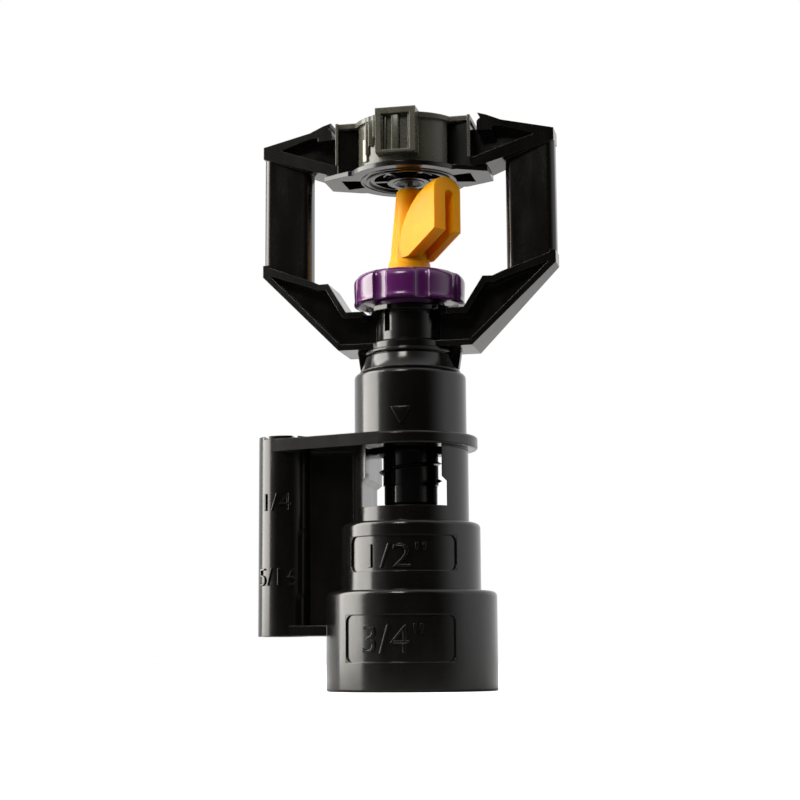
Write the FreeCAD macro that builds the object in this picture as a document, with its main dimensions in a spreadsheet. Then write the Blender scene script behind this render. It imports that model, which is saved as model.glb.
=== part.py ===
import FreeCAD, Part
import math
import os
import Sketcher

# Rotating mini sprinkler head on a pipe and rod adapter.
# +Z runs up the barrel. The origin is the centre of the large pipe socket's mouth,
# -Y is the lettered front and the rod arm points along -X. Lengths are millimetres.

DRIVING = [
    # pipe sockets of the adapter
    ("big_bore", 13.45), ("big_outer", 15.1), ("big_top", 17.3), ("big_depth", 16.2),
    ("small_bore", 10.75), ("small_outer", 12.3), ("small_top", 29.3), ("small_depth", 27.8),
    ("ledge_bore", 7.0), ("ledge_top", 31.9), ("panel_depth", 0.35),
    ("big_panel_low", 5.0), ("big_panel_high", 13.0), ("big_panel_turn", 78.0),
    ("small_panel_low", 20.5), ("small_panel_high", 26.6), ("small_panel_turn", 98.0),
    # window posts, flange and threaded sleeve
    ("post_outer", 10.3), ("post_bore", 6.7), ("post_half", 6.74), ("post_foot_half", 7.5),
    ("post_step_low", 36.2), ("post_step_high", 37.0), ("flange_low", 42.5),
    ("flange_high", 44.7), ("flange_outer", 12.0), ("sleeve_outer", 10.05),
    ("sleeve_bore", 8.0), ("sleeve_mouth", 8.5), ("sleeve_top", 56.2),
    # rod arm
    ("rod_out", 22.95), ("rod_outer", 4.9), ("rod_low", 9.65), ("rod_crown", 45.3),
    ("thick_rod_bore", 4.05), ("thin_rod_bore", 3.25), ("rod_step", 27.4),
    ("arm_web", 2.2), ("arm_rib", 1.8), ("arm_half", 4.6), ("crown_slot", 0.9),
    # head: male thread, neck and barrel
    ("head_turn", -2.3), ("water_bore", 3.6), ("thread_outer", 7.95), ("thread_low", 45.4),
    ("neck_low", 55.6), ("neck_outer", 7.35), ("neck_high", 59.9), ("collar_outer", 6.9),
    ("barrel_low", 61.2), ("barrel_outer", 6.0), ("barrel_high", 68.0), ("socket_bore", 4.6),
    ("socket_low", 61.5), ("lip_outer", 7.1), ("lip_low", 67.0), ("lug_reach", 8.0),
    ("lug_wide", 3.2), ("keyway_turn", 15.0), ("keyway_deep", 0.7), ("keyway_low", 63.6),
    ("fin_thick", 1.4), ("fin_reach", 9.6), ("fin_low", 57.0), ("lug_turn", 61.0),
    # bridge arms, flanges and blades, measured along the span and up
    ("span", 27.1), ("flange_thick", 1.1), ("web_thick", 2.4), ("frame_deep", 9.4),
    ("corner_half", 2.35),
    ("blade_thick", 4.4), ("blade_in", 18.1), ("blade_round", 1.5),
    ("foot_x", 12.2), ("foot_z", 60.45), ("heel_z", 75.2), ("knee_z", 77.4),
    ("sill_x", 17.6), ("sill_z", 73.7), ("dip_x", 15.9), ("dip_z", 72.9), ("crest_x", 14.2),
    ("cup_x", 10.8), ("cup_z", 67.4), ("arm_root", 5.0),
    ("corner_z", 99.9), ("shelf_z", 98.9), ("eave_z", 94.6),
    ("ramp_x", 17.8), ("ramp_z", 101.6), ("hook_z", 103.0), ("hook_x", 13.6),
    ("barb_notch", 1.5), ("pocket_x", 23.6),
    # bridge hub that holds the brake
    ("hub_low", 92.3), ("plate_high", 93.2), ("box_low", 93.0), ("hub_floor", 93.9),
    ("hub_top", 101.3), ("hub_outer", 8.4),
    ("hub_plate", 11.0), ("hub_bore", 7.2), ("hub_end", 12.2), ("hub_end_half", 4.8),
    ("wing_x", 10.0), ("wing_half", 6.0), ("wing_end_x", 15.2), ("wing_end_half", 3.4),
    ("hub_waist", 8.2), ("hub_waist_half", 3.7), ("hub_wall", 1.0),
    ("port_in", 8.6), ("port_out", 12.0), ("port_half", 3.0),
    # feed barb
    ("barb_outer", 4.95), ("barb_lead", 4.75), ("lead_high", 36.0), ("barb_bore", 3.2),
    ("barb_low", 32.2), ("barb_flange", 6.4),
    ("barb_flange_low", 43.9), ("barb_flange_high", 45.3), ("spigot_outer", 3.55),
    ("spigot_high", 52.5), ("ridge_high", 0.7), ("ridge_pitch", 3.1), ("ridge_low", 36.9),
    ("barb_groove", 0.45), ("barb_seal_z", 49.5), ("seal_squeeze", 0.03),
    # nozzle
    ("nozzle_outer", 10.2), ("nozzle_low", 68.75), ("nozzle_high", 74.3),
    ("nozzle_skirt", 8.9), ("nozzle_deck", 69.3), ("nozzle_spigot", 4.55),
    ("nozzle_spigot_low", 62.2), ("nozzle_inlet", 3.4), ("jet_bore", 1.3), ("jet_low", 72.6),
    ("nozzle_boss", 4.4), ("nozzle_crown", 1.5), ("grip_cut", 5.0), ("grip_deep", 0.75),
    ("nozzle_seal_z", 64.2), ("nozzle_groove", 0.7), ("nozzle_seat", 68.05),
    ("nozzle_hub", 6.2),
    # spinner plate
    ("spin_low", 74.5), ("spin_base", 3.85), ("spin_base_high", 77.1), ("post_low_r", 3.5),
    ("post_top_r", 2.25), ("post_top", 90.4), ("spin_bore", 1.3),
    ("bore_top", 78.3), ("slot_back", 0.9), ("wing_reach", 10.0),
    ("wing_start", 3.0), ("wing_low", 77.2), ("wing_tip_low", 81.2), ("wing_top", 91.0),
    ("wing_thick", 6.6), ("slot_wide", 2.1), ("slot_side", 0.5),
    ("slot_tip_high", 88.6), ("slot_bend_r", 1.0), ("slot_bend_z", 83.6),
    ("spin_turn", -37.0),
    # shaft, seals and brake
    ("shaft_r", 0.8), ("shaft_low", 86.6), ("shaft_top", 99.2), ("pin_r", 0.35),
    ("pin_half", 2.2), ("pin_z", 96.3), ("fit_gap", 0.04), ("top_washer_r", 1.9),
    ("brake_low", 92.4), ("brake_floor", 93.3), ("brake_inside", 94.2), ("brake_outer", 7.15),
    ("brake_wall", 6.3), ("brake_top", 99.9), ("brake_hub", 3.9), ("brake_hub_low", 91.9),
    ("bush_r", 2.2), ("bush_low", 93.05), ("bush_high", 94.6), ("lip_seal_low", 92.0),
    ("rib_wide", 0.9), ("drum_low", 95.05), ("drum_high", 97.2), ("drum_outer", 5.6),
    ("drum_boss", 2.7), ("drum_boss_high", 98.3), ("drum_slot", 0.8), ("drum_slot_low", 95.9),
    ("washer_r", 2.5), ("lid_low", 98.95), ("lid_high", 99.8), ("lid_seal_in", 5.7),
    ("lid_seal_low", 98.55), ("lid_bush_r", 1.8), ("lid_bush_low", 98.75),
    # cap
    ("cap_low", 93.35), ("grip_low", 94.6), ("cap_brim", 10.1), ("cap_plate", 101.5),
    ("cap_high", 102.4), ("cap_outer", 9.6),
    ("cap_skirt_in", 8.55), ("cap_reach", 12.45), ("cap_half", 5.2), ("cap_hollow", 7.0),
    ("grip_out", 11.6), ("grip_half", 3.65), ("grip_high", 102.85), ("window_half", 2.6),
    ("window_deep", 1.1), ("window_low", 95.1), ("window_high", 101.75), ("clip_thick", 0.5),
    ("clip_low", 94.6), ("skirt_gap", 5.0),
]

doc = FreeCAD.newDocument("mini_sprinkler")
sheet = doc.addObject("Spreadsheet::Sheet", "Dimensions")


class Size:
    """A length together with the sheet formula that gives it."""

    def __init__(self, value, formula):
        self.value = float(value)
        self.formula = formula

    @staticmethod
    def of(other):
        return other if isinstance(other, Size) else Size(other, repr(float(other)))

    def joined(self, other, sign, value):
        return Size(value, "(%s %s %s)" % (self.formula, sign, other.formula))

    def __add__(self, other):
        other = Size.of(other)
        return self.joined(other, "+", self.value + other.value)

    def __sub__(self, other):
        other = Size.of(other)
        return self.joined(other, "-", self.value - other.value)

    def __mul__(self, other):
        other = Size.of(other)
        return self.joined(other, "*", self.value * other.value)

    def __truediv__(self, other):
        other = Size.of(other)
        return self.joined(other, "/", self.value / other.value)

    def __neg__(self):
        return Size(-self.value, "(0 - %s)" % self.formula)


class Sizes:
    """Every driving dimension, by its alias."""


d = Sizes()
for row, (alias, number) in enumerate(DRIVING, start=1):
    sheet.set("A%d" % row, alias)
    sheet.set("B%d" % row, repr(number))
    sheet.setAlias("B%d" % row, alias)
    setattr(d, alias, Size(number, "Dimensions." + alias))
doc.recompute()

ZERO = Size(0.0, "0")
FULL_TURN = 360.0
EPS = 1e-6
bodies = []


def new_body(name):
    body = doc.addObject("PartDesign::Body", name)
    body.Label = name
    bodies.append(body)
    return body


def origin_feature(body, role):
    return [item for item in body.Origin.OriginFeatures if item.Role == role][0]


def bind(target, prop, size):
    target.setExpression(prop, size.formula)


def pin_point(sketch, geometry, end, size, kind, axis):
    """Fix one coordinate of a sketch point to a sheet formula."""
    if size is ZERO:
        sketch.addConstraint(Sketcher.Constraint("PointOnObject", geometry, end, axis))
        return
    index = sketch.addConstraint(Sketcher.Constraint(kind, -1, 1, geometry, end, size.value))
    bind(sketch, "Constraints[%d]" % index, size)


def sketch_on(body, name, role, loops=(), circles=(), lift=None, turn=None):
    """Closed polygons and circles on one of the body's own planes, turned about Z."""
    sketch = body.newObject("Sketcher::SketchObject", name)
    sketch.AttachmentSupport = [(origin_feature(body, role), "")]
    sketch.MapMode = "FlatFace"
    if turn is not None:
        up = FreeCAD.Vector(0, 0, 1) if role == "XY_Plane" else FreeCAD.Vector(0, 1, 0)
        sketch.AttachmentOffset = FreeCAD.Placement(
            FreeCAD.Vector(), FreeCAD.Rotation(up, turn.value))
    if lift is not None:
        bind(sketch, ".AttachmentOffset.Base.z", lift)
    for loop in loops:
        first = sketch.GeometryCount
        corners = [FreeCAD.Vector(x.value, y.value, 0) for x, y in loop]
        count = len(corners)
        for i in range(count):
            sketch.addGeometry(Part.LineSegment(corners[i], corners[(i + 1) % count]), False)
        for i in range(count):
            after = first + (i + 1) % count
            sketch.addConstraint(Sketcher.Constraint("Coincident", first + i, 2, after, 1))
        for i, (x, y) in enumerate(loop):
            pin_point(sketch, first + i, 1, x, "DistanceX", -2)
            pin_point(sketch, first + i, 1, y, "DistanceY", -1)
    for x, y, radius in circles:
        centre = FreeCAD.Vector(x.value, y.value, 0)
        number = sketch.addGeometry(
            Part.Circle(centre, FreeCAD.Vector(0, 0, 1), radius.value), False)
        pin_point(sketch, number, 3, x, "DistanceX", -2)
        pin_point(sketch, number, 3, y, "DistanceY", -1)
        index = sketch.addConstraint(Sketcher.Constraint("Radius", number, radius.value))
        bind(sketch, "Constraints[%d]" % index, radius)
    return sketch


def turned(body, name, profile, kind="Revolution", angle=None, role="XZ_Plane", turn=None):
    """Revolve a half profile of (radius, height) points about Z."""
    sketch = sketch_on(body, name + "_profile", role, [profile], turn=turn)
    feature = body.newObject("PartDesign::" + kind, name)
    feature.Profile = sketch
    feature.ReferenceAxis = (sketch, ["V_Axis"])
    if angle is None:
        feature.Angle = FULL_TURN
    else:
        feature.Midplane = True
        bind(feature, "Angle", angle)
    return feature


def layered(body, name, sketch, length, kind="Pad", symmetric=False, reverse=False):
    """Pad or pocket a sketch by a length."""
    feature = body.newObject("PartDesign::" + kind, name)
    feature.Profile = sketch
    feature.Type = "Length"
    feature.SideType = "Symmetric" if symmetric else "One side"
    feature.Reversed = reverse
    feature.AllowMultiFace = True
    bind(feature, "Length", length)
    return feature


def around(body, name, feature, count):
    """Repeat a feature evenly round Z."""
    pattern = body.newObject("PartDesign::PolarPattern", name)
    pattern.Originals = [feature]
    pattern.Axis = (origin_feature(body, "Z_Axis"), [""])
    pattern.Angle = FULL_TURN
    pattern.Occurrences = count
    body.Tip = pattern
    return pattern


def rounded(body, name, radius, wanted):
    """Fillet every edge of the body's tip that a test picks."""
    doc.recompute()
    base = body.Tip
    names = ["Edge%d" % (i + 1) for i, edge in enumerate(base.Shape.Edges) if wanted(edge)]
    if not names:
        raise ValueError("no edges found for " + name)
    fillet = body.newObject("PartDesign::Fillet", name)
    fillet.Base = (base, names)
    bind(fillet, "Radius", radius)
    return fillet


def is_ring(edge, radius, height):
    """True for a circular edge about Z with this radius and height."""
    curve = edge.Curve
    if not isinstance(curve, Part.Circle):
        return False
    on_axis = math.hypot(curve.Center.x, curve.Center.y) < EPS
    same_size = abs(curve.Radius - radius.value) < 1e-3
    return on_axis and same_size and abs(curve.Center.z - height.value) < 1e-3


def box_loop(x_low, x_high, y_low, y_high):
    return [(x_low, y_low), (x_high, y_low), (x_high, y_high), (x_low, y_high)]


def mirrored_loops(loops):
    return loops + [[(-x, y) for x, y in loop] for loop in loops]


def round_of_groove(centre_r, centre_z, wire):
    """Seal ring of round wire as a Part torus."""
    ring = doc.addObject("Part::Torus", "ring")
    bind(ring, "Radius1", centre_r)
    bind(ring, "Radius2", wire)
    bind(ring, ".Placement.Base.z", centre_z)
    return ring


def washer(name, inner, outer, low, high):
    """Flat ring or bush about Z."""
    body = new_body(name)
    turned(body, name + "_ring", [(inner, low), (outer, low), (outer, high), (inner, high)])
    return body


def build_adapter():
    """Pipe sockets, window posts, threaded sleeve and rod arm: one moulding."""
    body = new_body("pipe_adapter")
    turned(body, "socket_stack", [
        (d.big_bore, ZERO), (d.big_outer, ZERO), (d.big_outer, d.big_top),
        (d.small_outer, d.big_top), (d.small_outer, d.small_top),
        (d.post_outer, d.small_top), (d.post_outer, d.flange_low),
        (d.flange_outer, d.flange_low), (d.flange_outer, d.flange_high),
        (d.sleeve_outer, d.flange_high), (d.sleeve_outer, d.sleeve_top),
        (d.sleeve_mouth, d.sleeve_top), (d.sleeve_bore, d.sleeve_top - 0.6),
        (d.sleeve_bore, d.flange_low), (d.post_bore, d.flange_low),
        (d.post_bore, d.ledge_top), (d.ledge_bore, d.ledge_top),
        (d.ledge_bore, d.small_depth), (d.small_bore, d.small_depth),
        (d.small_bore, d.big_depth), (d.big_bore, d.big_depth)])
    rounded(body, "shoulder_rounds", Size(0.9, "0.9"), lambda edge: (
        is_ring(edge, d.big_outer, d.big_top) or is_ring(edge, d.small_outer, d.small_top)
        or is_ring(edge, d.sleeve_outer, d.sleeve_top)))
    rounded(body, "lip_rounds", Size(0.4, "0.4"), lambda edge: (
        is_ring(edge, d.big_outer, ZERO) or is_ring(edge, d.flange_outer, d.flange_low)
        or is_ring(edge, d.flange_outer, d.flange_high)))
    far = d.flange_outer + 2.0
    gap = [(-d.post_foot_half, d.ledge_top), (d.post_foot_half, d.ledge_top),
           (d.post_foot_half, d.post_step_low), (d.post_half, d.post_step_high),
           (d.post_half, d.flange_low), (-d.post_half, d.flange_low),
           (-d.post_half, d.post_step_high), (-d.post_foot_half, d.post_step_low)]
    windows = sketch_on(body, "window_outline", "XZ_Plane", [gap])
    layered(body, "windows", windows, far * 2.0, "Pocket", symmetric=True)
    for name, radius, low, high, turn in (
            ("big", d.big_outer, d.big_panel_low, d.big_panel_high, d.big_panel_turn),
            ("small", d.small_outer, d.small_panel_low, d.small_panel_high,
             d.small_panel_turn)):
        inner = -(radius - d.panel_depth)
        turned(body, name + "_panel", box_loop(-(radius + 1.0), inner, low, high),
               "Groove", turn, "YZ_Plane")
    add_rod_arm(body)
    return body


def add_rod_arm(body):
    """Split-height rod tube on a web, with its top plate, foot rib and crown."""
    out = -d.rod_out
    tube = sketch_on(body, "rod_tube_outline", "XY_Plane", [], [(out, ZERO, d.rod_outer)],
                     d.rod_low)
    layered(body, "rod_tube", tube, d.flange_high - d.rod_low)
    crown = sketch_on(body, "rod_crown_outline", "XY_Plane", [], [(out, ZERO, d.rod_outer)],
                      d.flange_high)
    layered(body, "rod_crown", crown, d.rod_crown - d.flange_high)
    edge = out + d.thick_rod_bore + 0.3
    web = sketch_on(body, "arm_web_outline", "XZ_Plane", [[
        (edge, d.rod_low), (-(d.big_outer - 0.5), d.rod_low),
        (-(d.big_outer - 0.5), d.big_top - 1.2), (-(d.small_outer - 0.4), d.big_top - 1.2),
        (-(d.small_outer - 0.4), d.small_top - 1.2), (-(d.post_outer - 0.6), d.small_top - 1.2),
        (-(d.post_outer - 0.6), d.flange_low + 0.5), (edge, d.flange_low + 0.5)]])
    layered(body, "arm_web", web, d.arm_web, symmetric=True)
    rib = sketch_on(body, "arm_rib_outline", "XY_Plane", [
        box_loop(out + 1.0, -(d.big_outer * 0.9), -d.arm_half, d.arm_half)], (), d.rod_low)
    layered(body, "arm_rib", rib, d.arm_rib)
    lean = math.acos((d.flange_outer.value - d.rod_outer.value) / d.rod_out.value)
    near_x = Size(math.cos(lean), repr(math.cos(lean)))
    near_y = Size(math.sin(lean), repr(math.sin(lean)))
    plate = sketch_on(body, "arm_plate_outline", "XY_Plane", [[
        (out - d.rod_outer * near_x, -(d.rod_outer * near_y)),
        (-(d.flange_outer * near_x), -(d.flange_outer * near_y)),
        (-(d.flange_outer * near_x), d.flange_outer * near_y),
        (out - d.rod_outer * near_x, d.rod_outer * near_y)]], (), d.flange_low)
    layered(body, "arm_plate", plate, d.flange_high - d.flange_low)
    thick = sketch_on(body, "thick_rod_outline", "XY_Plane", [],
                      [(out, ZERO, d.thick_rod_bore)], d.rod_low)
    layered(body, "thick_rod_hole", thick, d.rod_step - d.rod_low, "Pocket", reverse=True)
    thin = sketch_on(body, "thin_rod_outline", "XY_Plane", [],
                     [(out, ZERO, d.thin_rod_bore)], d.rod_step)
    layered(body, "thin_rod_hole", thin, d.rod_crown - d.rod_step + 1.0, "Pocket", reverse=True)
    bore = sketch_on(body, "sleeve_clear_outline", "XY_Plane", [],
                     [(ZERO, ZERO, d.sleeve_bore)], d.flange_low)
    layered(body, "sleeve_clear", bore, d.flange_high - d.flange_low, "Pocket", reverse=True)
    reach = d.rod_outer + 1.0
    half = d.crown_slot / 2.0
    slots = sketch_on(body, "crown_slot_outline", "XY_Plane", [
        box_loop(out - 2.6 - half, out - 2.6 + half, -reach, reach),
        box_loop(out + 2.6 - half, out + 2.6 + half, -reach, reach)], (), d.flange_high)
    layered(body, "crown_slots", slots, d.rod_crown - d.flange_high + 1.0, "Pocket",
            reverse=True)


def build_bridge():
    """Male thread, barrel, two flanged arms with blades and the brake hub: one moulding."""
    body = new_body("bridge_frame")
    turned(body, "stem", [
        (d.water_bore, d.thread_low), (d.thread_outer, d.thread_low),
        (d.thread_outer, d.neck_low), (d.neck_outer, d.neck_low + 0.6),
        (d.neck_outer, d.neck_high), (d.collar_outer, d.neck_high + 0.4),
        (d.collar_outer, d.barrel_low - 0.2), (d.barrel_outer, d.barrel_low),
        (d.barrel_outer, d.lip_low), (d.lip_outer, d.lip_low + 0.2),
        (d.lip_outer, d.barrel_high), (d.socket_bore, d.barrel_high),
        (d.socket_bore, d.socket_low), (d.water_bore, d.socket_low - 0.6)])
    lugs = sketch_on(body, "lug_outline", "XY_Plane", [
        box_loop(d.barrel_outer - 0.5, d.lug_reach, -(d.lug_wide / 2.0), d.lug_wide / 2.0)],
        (), d.lip_low + 0.1, d.lug_turn)
    lug = layered(body, "lug", lugs, d.barrel_high - d.lip_low - 0.1)
    around(body, "lugs", lug, 4)
    add_blades(body)
    add_arms(body)
    add_hub(body)
    add_keyways(body)
    body.Placement.Rotation = FreeCAD.Rotation(FreeCAD.Vector(0, 0, 1), d.head_turn.value)
    return body


def add_blades(body):
    blade = [(d.blade_in, d.sill_z), (d.span, d.knee_z - 0.5), (d.span, d.shelf_z),
             (d.blade_in, d.eave_z + 1.0)]
    outline = sketch_on(body, "blade_outline", "XZ_Plane", mirrored_loops([blade]))
    layered(body, "blades", outline, d.blade_thick, symmetric=True)

    def upright(edge):
        a, b = edge.Vertexes[0].Point, edge.Vertexes[-1].Point
        level = abs(a.x - b.x) < EPS and abs(a.y - b.y) < EPS
        return level and abs(a.x) > d.blade_in.value - 0.1 and abs(a.z - b.z) > 5.0

    rounded(body, "blade_edges", d.blade_round, upright)


def add_arms(body):
    """Recessed webs with deeper flanges along their edges."""
    thick = d.flange_thick
    lower_web = [(d.arm_root, d.foot_z), (d.foot_x, d.foot_z), (d.span, d.heel_z),
                 (d.span, d.knee_z), (d.sill_x, d.sill_z), (d.dip_x, d.dip_z),
                 (d.crest_x, d.dip_z), (d.cup_x, d.cup_z), (d.arm_root, d.cup_z)]
    root = d.hub_end - 0.5
    upper_web = [(root, d.eave_z - 0.6), (d.span, d.shelf_z), (d.span, d.corner_z),
                 (d.ramp_x, d.ramp_z - 0.4), (d.hook_x, d.ramp_z), (d.hook_x, d.hub_top - 0.4),
                 (root, d.hub_top - 0.4)]
    webs = sketch_on(body, "web_outline", "XZ_Plane",
                     mirrored_loops([lower_web, upper_web]))
    layered(body, "webs", webs, d.web_thick, symmetric=True)
    outer_run = [(d.arm_root, d.foot_z), (d.foot_x, d.foot_z), (d.span, d.heel_z),
                 (d.span, d.heel_z + thick * 1.4), (d.foot_x - 0.4, d.foot_z + thick),
                 (d.arm_root, d.foot_z + thick)]
    inner_run = [(d.span, d.knee_z), (d.sill_x, d.sill_z), (d.dip_x, d.dip_z),
                 (d.crest_x, d.dip_z), (d.cup_x, d.cup_z), (d.barrel_outer + 1.6, d.cup_z),
                 (d.barrel_outer + 1.6, d.cup_z - thick), (d.cup_x + 0.5, d.cup_z - thick),
                 (d.crest_x + 0.5, d.dip_z - thick), (d.dip_x + 0.3, d.dip_z - thick),
                 (d.sill_x + 0.3, d.sill_z - thick), (d.span, d.knee_z - thick * 1.4)]
    corner = box_loop(d.span - thick, d.span, d.heel_z, d.knee_z)
    eave = [(root, d.eave_z - 0.2), (d.pocket_x, d.shelf_z), (d.span, d.corner_z),
            (d.span, d.shelf_z - 1.2), (d.hook_x + 1.0, d.eave_z - thick - 0.1),
            (root, d.eave_z - thick - 0.3)]
    roof = [(d.pocket_x, d.shelf_z), (d.span, d.corner_z), (d.ramp_x, d.ramp_z),
            (d.hook_x + 1.6, d.hook_z - 0.4), (d.hook_x, d.hook_z),
            (d.hook_x + 0.5, d.hook_z - d.barb_notch * 0.6),
            (d.hook_x - 0.1, d.hook_z - d.barb_notch),
            (d.hook_x - 0.1, d.ramp_z - thick - 0.7), (d.hook_x + 2.6, d.ramp_z - thick - 0.7),
            (d.hook_x + 2.6, d.ramp_z - thick), (d.ramp_x, d.ramp_z - thick)]
    flanges = sketch_on(body, "lower_flange_outline", "XZ_Plane", mirrored_loops([outer_run]))
    layered(body, "lower_flanges", flanges, d.frame_deep, symmetric=True)
    for name, loop in (("inner", inner_run), ("corner", corner), ("eave", eave),
                       ("roof", roof)):
        part = sketch_on(body, name + "_flange_outline", "XZ_Plane", mirrored_loops([loop]))
        layered(body, name + "_flanges", part, d.frame_deep, symmetric=True)
    half = d.frame_deep / 2.0
    tapers = []
    for side in (1.0, -1.0):
        deep, tip, over = half * side, d.corner_half * side, (half + 1.0) * side
        tapers.append([(d.foot_x, deep), (d.span, tip), (d.span + 1.0, tip),
                       (d.span + 1.0, over), (d.foot_x, over)])
    taper = sketch_on(body, "taper_outline", "XY_Plane", mirrored_loops(tapers), (),
                      d.foot_z - 1.0)
    layered(body, "flange_tapers", taper, d.hook_z - d.foot_z + 3.0, "Pocket", reverse=True)
    fins = [(d.neck_outer - 0.4, d.fin_low), (d.fin_reach - 0.6, d.fin_low),
            (d.fin_reach, d.foot_z + 0.3), (d.neck_outer - 0.4, d.foot_z + 0.3)]
    outline = sketch_on(body, "fin_outline", "XZ_Plane", mirrored_loops([fins]))
    layered(body, "neck_fins", outline, d.fin_thick, symmetric=True)
    ledge = sketch_on(body, "foot_disc_outline", "XY_Plane", [],
                      [(ZERO, ZERO, d.neck_outer), (ZERO, ZERO, d.barrel_outer - 0.4)],
                      d.foot_z)
    layered(body, "foot_disc", ledge, thick)


def add_hub(body):
    """Waisted box over both arms with a round pocket for the brake."""
    plan = [(d.hub_end, -d.hub_end_half), (d.hub_end, d.hub_end_half),
            (d.hub_waist, d.hub_waist_half), (-d.hub_waist, d.hub_waist_half),
            (-d.hub_end, d.hub_end_half), (-d.hub_end, -d.hub_end_half),
            (-d.hub_waist, -d.hub_waist_half), (d.hub_waist, -d.hub_waist_half)]
    box = sketch_on(body, "hub_box_outline", "XY_Plane", [plan], (), d.box_low)
    layered(body, "hub_box", box, d.hub_top - d.box_low)
    wings = [(d.wing_end_x, -d.wing_end_half), (d.wing_end_x, d.wing_end_half),
             (d.wing_x, d.wing_half), (-d.wing_x, d.wing_half),
             (-d.wing_end_x, d.wing_end_half), (-d.wing_end_x, -d.wing_end_half),
             (-d.wing_x, -d.wing_half), (d.wing_x, -d.wing_half)]
    underside = sketch_on(body, "hub_wing_outline", "XY_Plane", [wings], (), d.hub_low)
    layered(body, "hub_wings", underside, d.plate_high - d.hub_low)
    plate = sketch_on(body, "hub_plate_outline", "XY_Plane", [],
                      [(ZERO, ZERO, d.hub_plate)], d.hub_low)
    layered(body, "hub_plate_disc", plate, d.plate_high - d.hub_low)
    wall = sketch_on(body, "hub_wall_outline", "XY_Plane", [],
                     [(ZERO, ZERO, d.hub_outer)], d.plate_high)
    layered(body, "hub_wall_ring", wall, d.hub_top - d.plate_high)
    inside = [(d.hub_waist + d.hub_wall * 0.6, -(d.hub_waist_half - d.hub_wall)),
              (d.hub_end - d.hub_wall, -(d.hub_end_half - d.hub_wall)),
              (d.hub_end - d.hub_wall, d.hub_end_half - d.hub_wall),
              (d.hub_waist + d.hub_wall * 0.6, d.hub_waist_half - d.hub_wall)]
    hollow = sketch_on(body, "hub_hollow_outline", "XY_Plane", mirrored_loops([inside]), (),
                       d.hub_floor)
    layered(body, "hub_hollows", hollow, d.hub_top - d.hub_floor + 1.0, "Pocket",
            reverse=True)
    port = [(d.port_in, -(d.port_half - 0.8)), (d.port_out, -d.port_half),
            (d.port_out, d.port_half), (d.port_in, d.port_half - 0.8)]
    ports = sketch_on(body, "port_outline", "XY_Plane", mirrored_loops([port]), (), d.hub_low)
    layered(body, "ports", ports, d.hub_floor - d.hub_low + 0.5, "Pocket", reverse=True)
    bore = sketch_on(body, "hub_bore_outline", "XY_Plane", [], [(ZERO, ZERO, d.hub_bore)],
                     d.hub_low)
    layered(body, "hub_bore", bore, d.hub_top - d.hub_low + 1.0, "Pocket", reverse=True)


def add_keyways(body):
    """Four shallow keyways down the barrel, one under each lug."""
    inner = d.barrel_outer - d.keyway_deep
    outline = box_loop(inner, d.barrel_outer + 0.5, d.keyway_low, d.lip_low)
    keyway = turned(body, "keyway", outline, "Groove", d.keyway_turn, turn=d.lug_turn)
    around(body, "keyways", keyway, 4)


def build_barb():
    """Feed tube tail with a spiral ridge, a stop flange and a sealed spigot."""
    body = new_body("feed_barb")
    groove = d.barb_groove / 2.0 + 0.1
    turned(body, "tail", [
        (d.barb_bore, d.barb_low), (d.barb_lead - 0.4, d.barb_low),
        (d.barb_lead, d.barb_low + 0.7), (d.barb_lead, d.lead_high),
        (d.barb_outer, d.lead_high + 0.1), (d.barb_outer, d.barb_flange_low - 0.9),
        (d.barb_outer - 0.5, d.barb_flange_low - 0.8),
        (d.barb_outer - 0.5, d.barb_flange_low), (d.barb_flange, d.barb_flange_low),
        (d.barb_flange, d.barb_flange_high), (d.spigot_outer, d.barb_flange_high),
        (d.spigot_outer, d.barb_seal_z - groove),
        (d.spigot_outer - d.barb_groove, d.barb_seal_z - groove),
        (d.spigot_outer - d.barb_groove, d.barb_seal_z + groove),
        (d.spigot_outer, d.barb_seal_z + groove),
        (d.spigot_outer, d.spigot_high - 0.4), (d.spigot_outer - 0.3, d.spigot_high),
        (d.barb_bore - 0.4, d.spigot_high), (d.barb_bore - 0.4, d.barb_flange_high),
        (d.barb_bore, d.barb_flange_high - 0.5)])
    add_spiral(body)
    return body


def add_spiral(body):
    """Sharp ridge of one and a half turns swept along a helix round the tail."""
    half = Size(0.45, "0.45")
    root = d.barb_outer - 0.15
    tooth = sketch_on(body, "ridge_tooth", "XZ_Plane", [[
        (root, d.ridge_low - half), (d.barb_outer + d.ridge_high, d.ridge_low),
        (root, d.ridge_low + half)]])
    ridge = body.newObject("PartDesign::AdditiveHelix", "spiral_ridge")
    ridge.Profile = tooth
    ridge.ReferenceAxis = (tooth, ["V_Axis"])
    ridge.Mode = 0
    bind(ridge, "Pitch", d.ridge_pitch)
    bind(ridge, "Height", d.ridge_pitch * 1.6)


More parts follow.
